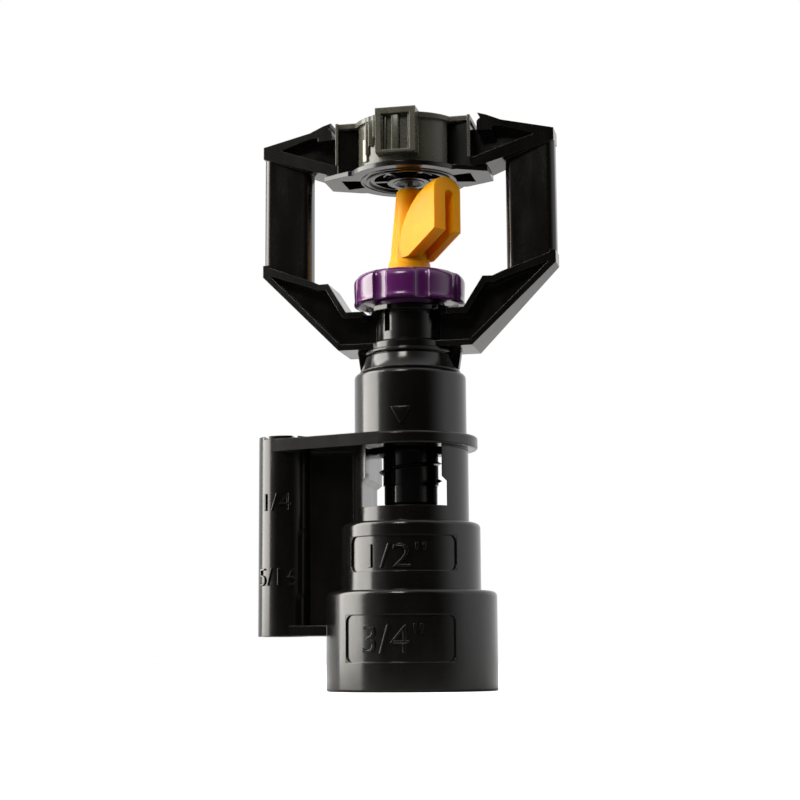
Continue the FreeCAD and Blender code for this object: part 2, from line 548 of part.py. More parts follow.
def build_nozzle():
    """Finger-lobed bayonet nozzle with its jet bore and sealed spigot."""
    body = new_body("nozzle")
    groove = d.nozzle_groove / 2.0 + 0.1
    turned(body, "nozzle_turning", [
        (d.nozzle_inlet, d.nozzle_spigot_low), (d.nozzle_spigot, d.nozzle_spigot_low),
        (d.nozzle_spigot, d.nozzle_seal_z - groove),
        (d.nozzle_spigot - d.nozzle_groove, d.nozzle_seal_z - groove),
        (d.nozzle_spigot - d.nozzle_groove, d.nozzle_seal_z + groove),
        (d.nozzle_spigot, d.nozzle_seal_z + groove), (d.nozzle_spigot, d.nozzle_seat),
        (d.nozzle_hub, d.nozzle_seat), (d.nozzle_hub, d.nozzle_deck),
        (d.nozzle_skirt, d.nozzle_deck), (d.nozzle_skirt, d.nozzle_low),
        (d.nozzle_outer, d.nozzle_low), (d.nozzle_outer, d.nozzle_high - d.nozzle_crown),
        (d.nozzle_outer - d.nozzle_crown, d.nozzle_high),
        (d.nozzle_boss, d.nozzle_high), (d.nozzle_boss - 0.6, d.nozzle_high + 0.15),
        (d.jet_bore, d.nozzle_high + 0.15), (d.jet_bore, d.jet_low),
        (d.nozzle_inlet, d.nozzle_deck)])
    cut = sketch_on(body, "grip_cut_outline", "XY_Plane", [], [
        (d.nozzle_outer + d.grip_cut - d.grip_deep, ZERO, d.grip_cut)], d.nozzle_low - 0.5)
    groove_cut = layered(body, "grip_cut", cut, d.nozzle_high - d.nozzle_low + 1.0, "Pocket",
                         reverse=True)
    around(body, "grip_cuts", groove_cut, 8)
    return body


def build_spinner():
    """Post and base ring with a side wing whose slot turns the jet outwards."""
    body = new_body("spinner_plate")
    turned(body, "post", [
        (d.spin_bore, d.spin_low), (d.spin_base, d.spin_low),
        (d.spin_base, d.spin_base_high), (d.post_low_r, d.spin_base_high + 0.4),
        (d.post_top_r, d.post_top - 0.2), (d.post_top_r - 0.2, d.post_top),
        (d.shaft_r, d.post_top), (d.shaft_r, d.shaft_low), (ZERO, d.shaft_low),
        (ZERO, d.bore_top), (d.spin_bore, d.bore_top)])
    rise = d.wing_top - d.wing_low
    reach = d.wing_reach
    steps = 7
    arch = []
    for i in range(1, steps + 1):
        angle = math.pi / 2.0 * i / steps
        arch.append((reach - reach * Size(math.cos(angle), repr(math.cos(angle))),
                     d.wing_low + rise * Size(math.sin(angle), repr(math.sin(angle)))))
    side = [(d.wing_start, d.wing_low), (reach, d.wing_tip_low)] + arch[::-1] + [
        (Size(0.5, "0.5"), d.wing_low)]
    wing = sketch_on(body, "wing_outline", "XZ_Plane", [side])
    layered(body, "wing", wing, d.wing_thick, symmetric=True)
    slot = [(-d.slot_back, d.spin_base_high), (-d.slot_back, d.slot_bend_z - 4.0),
            (d.slot_bend_r, d.slot_bend_z), (d.slot_bend_r + 3.6, d.slot_bend_z + 3.2),
            (reach + 1.0, d.slot_tip_high), (reach + 1.0, d.spin_base_high)]
    cut = sketch_on(body, "slot_outline", "XZ_Plane", [slot], (), -(d.slot_side))
    layered(body, "jet_slot", cut, d.slot_wide, "Pocket", symmetric=True)
    body.Placement.Rotation = FreeCAD.Rotation(FreeCAD.Vector(0, 0, 1), d.spin_turn.value)
    return body


def build_shaft():
    """Steel shaft that the plate hangs on, drilled for its drive pin."""
    rod = doc.addObject("Part::Cylinder", "shaft_rod")
    bind(rod, "Radius", d.shaft_r)
    bind(rod, "Height", d.shaft_top - d.shaft_low)
    bind(rod, ".Placement.Base.z", d.shaft_low)
    hole = cross_cylinder("shaft_hole", d.shaft_r * 2.0, d.pin_r)
    shaft = doc.addObject("Part::Cut", "rotor_shaft")
    shaft.Base = rod
    shaft.Tool = hole
    shaft.Label = "rotor_shaft"
    pin = cross_cylinder("drive_pin", d.pin_half, d.pin_r)
    pin.Label = "drive_pin"
    bodies.extend([shaft, pin])


def cross_cylinder(name, half, radius):
    """Cylinder across the shaft, along X, at the drive pin's height."""
    bar = doc.addObject("Part::Cylinder", name)
    bind(bar, "Radius", radius)
    bind(bar, "Height", half * 2.0)
    bar.Placement.Rotation = FreeCAD.Rotation(FreeCAD.Vector(0, 1, 0), 90)
    bind(bar, ".Placement.Base.x", -half)
    bind(bar, ".Placement.Base.z", d.pin_z)
    return bar


def build_brake():
    """Brake cup, drum, lid, bushes and seals."""
    gap = d.fit_gap
    cup = new_body("brake_housing")
    turned(cup, "cup", [
        (d.bush_r, d.brake_hub_low), (d.brake_hub, d.brake_hub_low),
        (d.brake_hub, d.brake_floor), (d.brake_wall, d.brake_floor),
        (d.brake_wall, d.brake_low), (d.brake_outer, d.brake_low),
        (d.brake_outer, d.brake_top), (d.brake_wall, d.brake_top),
        (d.brake_wall, d.brake_inside), (d.bush_r, d.brake_inside)])
    half = d.rib_wide / 2.0
    outline = sketch_on(cup, "rib_outline", "XY_Plane", [
        box_loop(d.brake_hub - 0.3, d.brake_wall + 0.3, -half, half)], (), d.brake_low)
    rib = layered(cup, "rib", outline, d.brake_floor - d.brake_low + 0.2)
    around(cup, "ribs", rib, 6)
    drum = new_body("brake_rotor")
    hole = d.shaft_r + gap
    turned(drum, "drum", [
        (hole, d.drum_low), (d.drum_outer, d.drum_low), (d.drum_outer, d.drum_high),
        (d.drum_boss, d.drum_high), (d.drum_boss, d.drum_boss_high),
        (hole, d.drum_boss_high)])
    slot = sketch_on(drum, "pin_slot_outline", "XY_Plane", [
        box_loop(-(d.drum_boss + 0.3), d.drum_boss + 0.3, -(d.drum_slot / 2.0),
                 d.drum_slot / 2.0)], (), d.drum_slot_low)
    layered(drum, "pin_slot", slot, d.drum_boss_high - d.drum_slot_low + 0.5, "Pocket",
            reverse=True)
    washer("shaft_seal", hole, d.bush_r, d.lip_seal_low, d.bush_low)
    washer("lower_bearing", hole, d.bush_r, d.bush_low, d.bush_high)
    washer("lower_thrust_washer", hole, d.washer_r, d.bush_high, d.drum_low - 0.05)
    washer("upper_thrust_washer", hole, d.washer_r, d.drum_boss_high,
           d.drum_boss_high + 0.3)
    washer("plate_thrust_washer", hole, d.top_washer_r, d.post_top, d.post_top + 0.3)
    washer("lid_seal", d.lid_seal_in, d.brake_wall, d.lid_seal_low, d.lid_low)
    washer("upper_bearing", hole, d.lid_bush_r, d.lid_bush_low, d.lid_high)
    washer("housing_lid", d.lid_bush_r, d.brake_wall, d.lid_low, d.lid_high)


def build_seals():
    """Seal rings that fill their spigot's groove and just reach past it."""
    for name, spigot, deep, height in (
            ("barb_seal", d.spigot_outer, d.barb_groove, d.barb_seal_z),
            ("nozzle_seal", d.nozzle_spigot, d.nozzle_groove, d.nozzle_seal_z)):
        wire = (deep + d.seal_squeeze) / 2.0
        ring = round_of_groove(spigot - deep + wire, height, wire)
        ring.Label = name
        bodies.append(ring)


def build_cap():
    """Snap cap: top plate, two skirts, two ribbed finger grips and four clip legs."""
    body = new_body("cap")
    turned(body, "cap_shell", [
        (ZERO, d.cap_plate), (d.cap_hollow, d.cap_plate), (d.cap_skirt_in, d.cap_plate),
        (d.cap_skirt_in, d.cap_low), (d.cap_outer, d.cap_low), (d.cap_outer, d.cap_plate),
        (d.cap_brim, d.cap_plate), (d.cap_brim, d.cap_high), (ZERO, d.cap_high)])
    gap = d.skirt_gap
    far = d.cap_outer + 2.0
    cut = sketch_on(body, "skirt_gap_outline", "YZ_Plane", [
        box_loop(-gap, gap, d.cap_low - 1.0, d.cap_plate)])
    layered(body, "skirt_gaps", cut, far * 2.0, "Pocket", symmetric=True)
    plate = sketch_on(body, "cap_plate_outline", "XY_Plane", [
        box_loop(-d.cap_reach, d.cap_reach, -d.cap_half, d.cap_half)], (), d.cap_plate)
    layered(body, "cap_end_plates", plate, d.cap_high - d.cap_plate)
    grips = sketch_on(body, "grip_outline", "XY_Plane", [
        box_loop(-d.grip_half, d.grip_half, d.cap_skirt_in + 0.2, d.grip_out),
        box_loop(-d.grip_half, d.grip_half, -d.grip_out, -(d.cap_skirt_in + 0.2))], (),
        d.grip_low)
    layered(body, "grips", grips, d.grip_high - d.grip_low)
    bar = sketch_on(body, "grip_bar_outline", "XY_Plane", [
        box_loop(-d.grip_half, d.grip_half, -d.grip_out, d.grip_out)], (), d.cap_high)
    layered(body, "grip_bar", bar, d.grip_high - d.cap_high)
    window = sketch_on(body, "grip_window_outline", "XZ_Plane", [
        box_loop(-d.window_half, d.window_half, d.window_low, d.window_high)], (),
        d.grip_out - d.window_deep)
    recess = layered(body, "grip_window", window, d.window_deep + 1.0, "Pocket",
                     reverse=True)
    around(body, "grip_windows", recess, 2)
    low, side = d.cap_reach - d.clip_thick, d.cap_half
    legs = [box_loop(low, d.cap_reach, side - 0.05, side + d.clip_thick),
            box_loop(low, d.cap_reach, -(side + d.clip_thick), -(side - 0.05))]
    leg = sketch_on(body, "leg_outline", "XY_Plane", mirrored_loops(legs), (), d.clip_low)
    layered(body, "clip_legs", leg, d.cap_high - d.clip_low)
    body.Placement.Rotation = FreeCAD.Rotation(FreeCAD.Vector(0, 0, 1), d.head_turn.value)
    return body


build_adapter()
build_bridge()
build_barb()
build_nozzle()
build_spinner()
build_shaft()
build_brake()
build_seals()
build_cap()
doc.recompute()

for item in doc.Objects:
    if "Invalid" in item.State or "Error" in item.State:
        raise RuntimeError("%s is in state %s" % (item.Name, item.State))
os.makedirs("parts", exist_ok=True)
for part in bodies:
    shape = part.Shape
    if shape.isNull() or not shape.isValid() or not shape.Solids:
        raise RuntimeError("bad shape: " + part.Label)
    shape.exportStep(os.path.join("parts", part.Label + ".step"))
    print("%-22s %2d solid(s) %9.1f mm3" % (part.Label, len(shape.Solids), shape.Volume))
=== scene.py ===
"""Looks of a rotating mini sprinkler head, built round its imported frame.

Lengths in the classes are millimetres. Every mesh is made in metres in the frame's own
axes: +Z runs up the barrel, -Y is the lettered front, the rod arm points along -X.
"""

import logging
from dataclasses import dataclass, field
from enum import Enum
from typing import Any

import bpy
import numpy as np
from mathutils import Matrix

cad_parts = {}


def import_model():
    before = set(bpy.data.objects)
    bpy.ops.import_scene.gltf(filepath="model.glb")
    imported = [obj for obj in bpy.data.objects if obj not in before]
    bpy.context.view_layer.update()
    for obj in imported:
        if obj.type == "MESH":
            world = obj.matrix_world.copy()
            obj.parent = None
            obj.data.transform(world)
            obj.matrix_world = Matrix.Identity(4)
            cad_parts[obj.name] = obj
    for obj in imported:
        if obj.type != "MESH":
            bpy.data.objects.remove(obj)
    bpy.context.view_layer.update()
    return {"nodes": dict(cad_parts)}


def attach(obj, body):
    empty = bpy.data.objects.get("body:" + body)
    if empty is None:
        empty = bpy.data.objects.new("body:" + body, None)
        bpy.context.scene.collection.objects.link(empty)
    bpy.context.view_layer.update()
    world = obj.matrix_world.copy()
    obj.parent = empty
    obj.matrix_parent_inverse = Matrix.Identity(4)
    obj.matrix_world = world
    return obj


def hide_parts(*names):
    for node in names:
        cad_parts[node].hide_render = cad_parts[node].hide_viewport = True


MM = 0.001
HEAD_TURN = -2.3
log = logging.getLogger("sprinkler")


class Body(str, Enum):
    """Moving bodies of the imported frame."""

    HEAD = "head"
    CAP = "cap"
    NOZZLE = "nozzle"
    ROTOR = "rotor"
    PLATE = "plate"


class Slot(str, Enum):
    """Material slots that the record names."""

    BLACK = "black_plastic"
    GLOSS = "gloss_black"
    PURPLE = "purple_plastic"
    ORANGE = "orange_plastic"
    GREY = "grey_plastic"
    STEEL = "stainless"
    BEARING = "bearing_plastic"
    RUBBER = "seal_rubber"


# --------------------------------------------------------------------------- meshes


def grid_faces(rows: int, cols: int, wrap_rows: bool = False,
               wrap_cols: bool = False) -> np.ndarray:
    """Quads of a grid whose vertex (i, j) has index i * cols + j.

    Args:
        rows: Number of grid lines along the first parameter.
        cols: Number of grid lines along the second parameter.
        wrap_rows: Whether the last row joins the first.
        wrap_cols: Whether the last column joins the first.

    Returns:
        Array of four vertex numbers per face.
    """
    i = np.arange(rows if wrap_rows else rows - 1)
    j = np.arange(cols if wrap_cols else cols - 1)
    a, b = np.meshgrid(i, j, indexing="ij")
    c, e = (a + 1) % rows, (b + 1) % cols
    return np.stack([a * cols + b, c * cols + b, c * cols + e, a * cols + e], -1).reshape(-1, 4)


def make_piece(name: str, verts: np.ndarray, faces: list, sharp: float = 35.0) -> bpy.types.Object:
    """Object at the origin with the given mesh, shaded smooth up to the sharp angle.

    Args:
        name: Name of the piece.
        verts: Points in millimetres, one row each.
        faces: Vertex numbers of every face.
        sharp: Edges that bend more than this many degrees stay crisp.

    Returns:
        The new object, linked to the scene.
    """
    mesh = bpy.data.meshes.new(name)
    points = (np.asarray(verts, float) * MM).tolist()
    mesh.from_pydata(points, [], [list(map(int, face)) for face in faces])
    mesh.validate()
    mesh.polygons.foreach_set("use_smooth", np.ones(len(mesh.polygons), bool))
    mesh.set_sharp_from_angle(angle=np.radians(sharp))
    piece = bpy.data.objects.new(name, mesh)
    bpy.context.scene.collection.objects.link(piece)
    return piece


def lathe(profile: np.ndarray, count: int, reach: Any = None) -> tuple[np.ndarray, list]:
    """Closed ring surface: each profile point turns once round the Z axis.

    A vertex is (r sin t, -r cos t, z) with r and z from the closed profile, so t = 0 faces
    the front. reach, when given, maps (r, z, t) arrays to a changed radius.

    Args:
        profile: Closed loop of (r, z) rows, counter-clockwise with r to the right.
        count: Number of steps round the axis.
        reach: Optional function that reshapes the radius.

    Returns:
        The vertices and the faces.
    """
    turn = np.linspace(0.0, 2.0 * np.pi, count, endpoint=False)
    r, t = np.meshgrid(profile[:, 0], turn, indexing="ij")
    z = np.repeat(profile[:, 1:2], count, axis=1)
    if reach is not None:
        r = reach(r, z, t)
    verts = np.stack([r * np.sin(t), -r * np.cos(t), z], -1).reshape(-1, 3)
    return verts, grid_faces(len(profile), count, True, True)[:, ::-1].tolist()


def turning(name: str, profile: list[tuple[float, float]]) -> bpy.types.Object:
    """Plain closed ring from an (r, z) profile.

    Args:
        name: Name of the ring.
        profile: Closed (r, z) loop in millimetres.

    Returns:
        The ring.
    """
    return make_piece(name, *lathe(np.array(profile), 96), sharp=40.0)


def rounded_loop(corners: list[tuple[float, float]], radius: float, steps: int = 4) -> np.ndarray:
    """Closed outline whose corners are cut by short curves.

    Each corner becomes a quadratic curve from a point radius before it to one radius after
    it, at most a third of the way along either side.

    Args:
        corners: Outline corners in order.
        radius: Distance from a corner at which its curve starts.
        steps: Points on each curve.

    Returns:
        The outline, one row per point.
    """
    p = np.array(corners, float)
    before, after = np.roll(p, 1, 0) - p, np.roll(p, -1, 0) - p
    lb, la = np.linalg.norm(before, axis=1), np.linalg.norm(after, axis=1)
    cut = np.minimum(radius, np.minimum(lb, la) / 3.0)
    a = p + before * (cut / lb)[:, None]
    b = p + after * (cut / la)[:, None]
    t = np.linspace(0.0, 1.0, steps)[None, :, None]
    curve = (1 - t) ** 2 * a[:, None] + 2 * t * (1 - t) * p[:, None] + t**2 * b[:, None]
    return curve.reshape(-1, 2)


def outline_normals(loop: np.ndarray) -> np.ndarray:
    """Unit vectors that point out of a counter-clockwise outline at each of its points.

    Args:
        loop: Counter-clockwise outline.

    Returns:
        One unit vector per point.
    """
    step = np.roll(loop, -1, 0) - np.roll(loop, 1, 0)
    normal = np.stack([step[:, 1], -step[:, 0]], 1)
    return normal / np.maximum(np.linalg.norm(normal, axis=1, keepdims=True), 1e-9)


def pad(loop: np.ndarray, low: float, high: float, edge: float) -> tuple[np.ndarray, list]:
    """Solid slab over an outline, with both rims rounded by a quarter circle.

    Ring k lies at height h(a) and is the outline moved inwards by edge (1 - sin a), where a
    runs over a quarter turn at each rim, so the wall swells from face to side to face. Each
    face is closed by a fan round the outline's mean point.

    Args:
        loop: Counter-clockwise outline.
        low: Height of the lower face.
        high: Height of the upper face.
        edge: Radius of the rims.

    Returns:
        The vertices as (u, v, height) rows, and the faces.
    """
    a = np.linspace(0.0, np.pi / 2.0, 4)
    inset = np.concatenate([edge * (1 - np.sin(a)), edge * (1 - np.cos(a))])
    height = np.concatenate([low + edge * (1 - np.cos(a)), high - edge * (1 - np.sin(a))])
    normal = outline_normals(loop)
    ring = loop[None] - normal[None] * inset[:, None, None]
    level = np.broadcast_to(height[:, None, None], ring.shape[:2] + (1,))
    verts = np.concatenate([ring, level], 2)
    n = len(loop)
    verts = verts.reshape(-1, 3)
    middle = loop.mean(0)
    verts = np.vstack([verts, [[*middle, low], [*middle, high]]])
    faces = grid_faces(len(inset), n, False, True)[:, ::-1].tolist()
    k = np.arange(n)
    first, last = len(verts) - 2, len(verts) - 1
    top = (len(inset) - 1) * n
    faces += np.stack([(k + 1) % n, k, np.full(n, first)], 1).tolist()
    faces += np.stack([top + k, top + (k + 1) % n, np.full(n, last)], 1).tolist()
    return verts, faces


def shell(outer: np.ndarray, inner: np.ndarray) -> tuple[np.ndarray, list]:
    """Closed wall between two grids of the same shape.

    Args:
        outer: Points of the outside, shape (rows, cols, 3).
        inner: Points of the inside, in the same order.

    Returns:
        The vertices and the faces of both sides and the four rims.
    """
    rows, cols = outer.shape[:2]
    n = rows * cols
    verts = np.vstack([outer.reshape(-1, 3), inner.reshape(-1, 3)])
    quads = grid_faces(rows, cols)
    index = np.arange(n).reshape(rows, cols)
    edge = np.concatenate([index[0, :-1], index[:-1, -1], index[-1, :0:-1], index[:0:-1, 0]])
    nxt = np.roll(edge, -1)
    rim = np.stack([edge, nxt, nxt + n, edge + n], 1)
    return verts, quads.tolist() + (quads[:, ::-1] + n).tolist() + rim[:, ::-1].tolist()


def merged(parts: list[tuple[np.ndarray, list]]) -> tuple[np.ndarray, list]:
    """One vertex array and face list from several.

    Args:
        parts: Vertices and faces of each part.

    Returns:
        The joined vertices and the renumbered faces.
    """
    verts, faces, start = [], [], 0
    for points, quads in parts:
        verts.append(points)
        faces += [[start + int(k) for k in face] for face in quads]
        start += len(points)
    return np.vstack(verts), faces


def turned(points: np.ndarray, degrees: float) -> np.ndarray:
    """Points turned about the Z axis, anticlockwise seen from above.

    Args:
        points: Rows of x, y and z.
        degrees: Angle of the turn.

    Returns:
        The turned points.
    """
    a = np.radians(degrees)
    spin = np.array([[np.cos(a), -np.sin(a), 0.0], [np.sin(a), np.cos(a), 0.0], [0.0, 0.0, 1.0]])
    return points @ spin.T


def wrapped(points: np.ndarray, radius: float, centre: tuple[float, float] = (0.0, 0.0),
            heading: float = 0.0) -> np.ndarray:
    """Flat (along, up, out) points laid on an upright cylinder.

    The length along becomes an arc: angle = along / radius + heading, and out adds to the
    radius, so the patch faces -Y when its heading is 0.

    Args:
        points: Rows of along, up and out.
        radius: Radius of the cylinder.
        centre: Its axis in x and y.
        heading: Degrees from the front, towards +X.

    Returns:
        Rows of x, y and z.
    """
    angle = points[:, 0] / radius + np.radians(heading)
    r = radius + points[:, 2]
    return np.stack([centre[0] + r * np.sin(angle), centre[1] - r * np.cos(angle), points[:, 1]], 1)


def outward(piece: bpy.types.Object) -> None:
    """Points every face of a closed piece outwards.

    Args:
        piece: A closed mesh object.
    """
    import bmesh

    bm = bmesh.new()
    bm.from_mesh(piece.data)
    bmesh.ops.recalc_face_normals(bm, faces=bm.faces)
    bm.to_mesh(piece.data)
    bm.free()


def soften(piece: bpy.types.Object, width: float, segments: int = 2) -> None:
    """Rounds the sharp edges of a piece with a Bevel modifier.

    Args:
        piece: The object to round.
        width: Bevel width in millimetres.
        segments: Steps across each bevel.
    """
    bevel = piece.modifiers.new("soft_edges", "BEVEL")
    bevel.width = width * MM
    bevel.segments = segments
    bevel.limit_method = "ANGLE"
    bevel.angle_limit = np.radians(32.0)
    bevel.harden_normals = True


# --------------------------------------------------------------------------- finishes


class Nodes:
    """Short hand for building one material's node tree."""

    def __init__(self, name: str) -> None:
        """Starts a material that holds a Principled shader.

        Args:
            name: Name of the material.
        """
        self.material = bpy.data.materials.new(name)
        self.material.use_nodes = True
        self.tree = self.material.node_tree
        self.shader = self.tree.nodes["Principled BSDF"]
        self.place = self.tree.nodes.new("ShaderNodeTexCoord").outputs["Object"]

    def add(self, kind: str, links: dict[str, Any] | None = None, **values: Any) -> bpy.types.Node:
        """New node with its properties set and its inputs linked or filled.

        Args:
            kind: Blender's node type.
            links: Inputs by name: a socket to link, or a value to set.
            **values: Properties of the node itself.

        Returns:
            The node.
        """
        node = self.tree.nodes.new(kind)
        for key, value in values.items():
            setattr(node, key, value)
        for key, value in (links or {}).items():
            socket = node.inputs[int(key[1:]) if key[0] == "#" else key]
            if isinstance(value, bpy.types.NodeSocket):
                self.tree.links.new(value, socket)
            else:
                socket.default_value = value
        return node

    def noise(self, scale: float, detail: float = 2.0,
              stretch: tuple[float, float, float] = (1, 1, 1)) -> Any:
        """Noise factor over the piece, with scale in cycles per millimetre.

        Args:
            scale: Cycles per millimetre.
            detail: Number of finer layers.
            stretch: Factors on the coordinates.

        Returns:
            The noise's socket.
        """
        mapping = self.add("ShaderNodeMapping", {"Vector": self.place, "Scale": stretch})
        node = self.add("ShaderNodeTexNoise", {"Vector": mapping.outputs["Vector"],
                                               "Scale": scale / MM, "Detail": detail})
        return node.outputs["Fac"]

    def ranged(self, value: Any, low: float, high: float, start: float = 0.3,
               stop: float = 0.7) -> Any:
        """Value mapped from start..stop to low..high.

        Args:
            value: Socket to map.
            low: Result at start.
            high: Result at stop.
            start: Input that gives low.
            stop: Input that gives high.

        Returns:
            The mapped socket.
        """
        node = self.add("ShaderNodeMapRange", {"Value": value, "From Min": start, "From Max": stop,
                                               "To Min": low, "To Max": high})
        return node.outputs["Result"]

    def link(self, source: Any, target: str) -> None:
        """Links a socket to an input of the shader.

        Args:
            source: Socket that gives the value.
            target: Name of the shader's input.
        """
        self.tree.links.new(source, self.shader.inputs[target])


@dataclass(frozen=True)
class Moulded:
    """Moulded plastic: a main colour with faint clouding, fine grain, and lighter edges that are
    partly rubbed wear and partly a painted highlight.
    """

    name: str
    colour: tuple[float, float, float]
    cloud: tuple[float, float, float]
    # Edge colour: partly wear, partly a painted highlight on edges that catch the light.
    worn_and_lit_edge: tuple[float, float, float]
    rough_low: float = 0.3
    rough_high: float = 0.42
    grain: float = 4.0
    grain_depth: float = 0.02
    flow_depth: float = 0.02
    edge: float = 0.22
    # Share of the edge colour: partly wear, partly painted highlight.
    edge_wear_and_highlight: float = 0.5
    specular: float = 0.5
    coat: float = 0.0
    subsurface: float = 0.0
    metallic: float = 0.0

    def material(self) -> bpy.types.Material:
        """Builds the node tree and returns the material.

        Returns:
            The material.
        """
        n = Nodes(self.name)
        s = n.shader.inputs
        s["Metallic"].default_value = self.metallic
        s["Specular IOR Level"].default_value = self.specular
        s["Coat Weight"].default_value = self.coat
        s["Coat Roughness"].default_value = 0.12
        if self.subsurface > 0.0:
            s["Subsurface Weight"].default_value = self.subsurface
            s["Subsurface Scale"].default_value = 3.0 * MM
            s["Subsurface Radius"].default_value = (1.0, 0.35, 0.08)
        bevel = n.add("ShaderNodeBevel", {"Radius": self.edge * MM}, samples=4)
        flat = n.add("ShaderNodeNewGeometry").outputs["Normal"]
        match = n.add("ShaderNodeVectorMath", {"#0": bevel.outputs["Normal"], "#1": flat},
                      operation="DOT_PRODUCT").outputs["Value"]
        # Lighter edges: partly rubbed wear, partly a painted highlight along edges that catch the
        # light.
        rubbed_and_lit_edge = n.ranged(match, self.edge_wear_and_highlight, 0.0, 0.8, 0.985)
        patch = n.ranged(n.noise(0.9, 3.0), 0.35, 1.0, 0.35, 0.65)
        edge = n.add("ShaderNodeMath", {"#0": rubbed_and_lit_edge, "#1": patch}, operation="MULTIPLY").outputs[0]
        clouds = n.ranged(n.noise(0.12, 3.0), 0.0, 1.0)
        tint = n.add("ShaderNodeMix", {"Factor": clouds}, data_type="RGBA")
        tint.inputs[6].default_value = (*self.colour, 1)
        tint.inputs[7].default_value = (*self.cloud, 1)
        paint_with_lit_edges = n.add("ShaderNodeMix", {"Factor": edge}, data_type="RGBA")
        n.tree.links.new(tint.outputs[2], paint_with_lit_edges.inputs[6])
        paint_with_lit_edges.inputs[7].default_value = (*self.worn_and_lit_edge, 1)
        n.link(paint_with_lit_edges.outputs[2], "Base Color")
        fine = n.noise(self.grain, 3.0)
        smear = n.noise(0.35, 2.0, (1.0, 1.0, 0.25))
        shade = n.add("ShaderNodeMath", {"#0": fine, "#1": smear}, operation="MULTIPLY").outputs[0]
        n.link(n.ranged(shade, self.rough_low, self.rough_high, 0.12, 0.4), "Roughness")
        wave = n.add("ShaderNodeBump", {"Height": n.noise(0.28, 1.0), "Strength": 0.35,
                                        "Distance": self.flow_depth * MM,
                                        "Normal": bevel.outputs["Normal"]})
        bump = n.add("ShaderNodeBump", {"Height": fine, "Strength": 0.6,
                                        "Distance": self.grain_depth * MM,
                                        "Normal": wave.outputs["Normal"]})
        n.link(bump.outputs["Normal"], "Normal")
        return n.material


# The third colour of each finish goes on its edges: partly wear, partly a painted edge highlight.
FINISHES: dict[Slot, Moulded] = {
    Slot.BLACK: Moulded("black_moulding", (0.0030, 0.0026, 0.0022), (0.0042, 0.0038, 0.0032),
                        (0.012, 0.0115, 0.0105), 0.13, 0.24, 4.5, 0.002, 0.012, 0.2, 0.35),
    Slot.GLOSS: Moulded("gloss_black_moulding", (0.0028, 0.0028, 0.003), (0.004, 0.0038, 0.0036),
                        (0.015, 0.015, 0.015), 0.1, 0.2, 3.0, 0.0015, 0.012, 0.12, 0.3),
    Slot.PURPLE: Moulded("purple_moulding", (0.078, 0.009, 0.09), (0.1, 0.012, 0.11),
                         (0.3, 0.1, 0.34), 0.14, 0.26, 3.0, 0.003, 0.03, 0.2, 0.5, 0.5, 0.25, 0.04),
    Slot.ORANGE: Moulded("orange_moulding", (1.0, 0.42, 0.0008), (1.0, 0.35, 0.0006),
                         (1.0, 0.55, 0.02), 0.32, 0.45, 3.2, 0.006, 0.02, 0.2, 0.4, 0.15, 0.0,
                         0.45),
    Slot.GREY: Moulded("grey_moulding", (0.06, 0.058, 0.04), (0.075, 0.072, 0.052),
                       (0.34, 0.34, 0.28), 0.2, 0.32, 3.5, 0.002, 0.015, 0.25, 0.8),
    Slot.STEEL: Moulded("ground_steel", (0.45, 0.45, 0.46), (0.4, 0.4, 0.41), (0.6, 0.6, 0.6),
                        0.18, 0.32, 6.0, 0.001, 0.004, 0.06, 0.3, metallic=1.0),
    Slot.BEARING: Moulded("bearing_moulding", (0.5, 0.48, 0.4), (0.44, 0.42, 0.35),
                          (0.65, 0.63, 0.56), 0.35, 0.5, 3.0, 0.003, 0.01, 0.1, 0.4),
    Slot.RUBBER: Moulded("seal_compound", (0.006, 0.006, 0.006), (0.01, 0.01, 0.01),
                         (0.03, 0.03, 0.03), 0.45, 0.6, 5.0, 0.005, 0.01, 0.08, 0.3),
}


@dataclass
class Workshop:
    """Keeps the materials and hands each piece its body, slot and finish."""

    nodes: dict[str, bpy.types.Object]
    made: dict[Slot, bpy.types.Material] = field(default_factory=dict)

    def finish(self, slot: Slot) -> bpy.types.Material:
        """Material of a slot, built the first time it is asked for.

        Args:
            slot: Slot to finish.

        Returns:
            Its material.
        """
        if slot not in self.made:
            self.made[slot] = FINISHES[slot].material()
        return self.made[slot]

    def dress(self, node: str, slot: Slot) -> None:
        """Gives a CAD node its finish through its material slots.

        Args:
            node: Name of the CAD node.
            slot: Slot of its finish.
        """
        piece = self.nodes[node]
        if not piece.material_slots:
            piece.data.materials.append(self.finish(slot))
        for place in piece.material_slots:
            place.material = self.finish(slot)

    def fit(self, piece: bpy.types.Object, body: Body, slot: Slot,
            soft: float = 0.0) -> bpy.types.Object:
        """Finishes a new piece and makes it ride.

        Args:
            piece: The new piece, with its place in its mesh.
            body: The body that it moves with.
            slot: The slot of its finish.
            soft: Width in millimetres of its edge bevel, or 0 for none.

        Returns:
            The piece.
        """
        outward(piece)
        piece.data.materials.append(self.finish(slot))
        if soft > 0.0:
            soften(piece, soft)
        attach(piece, body.value)
        log.info("built %s on %s", piece.name, body.value)
        return piece


# --------------------------------------------------------------------------- studio


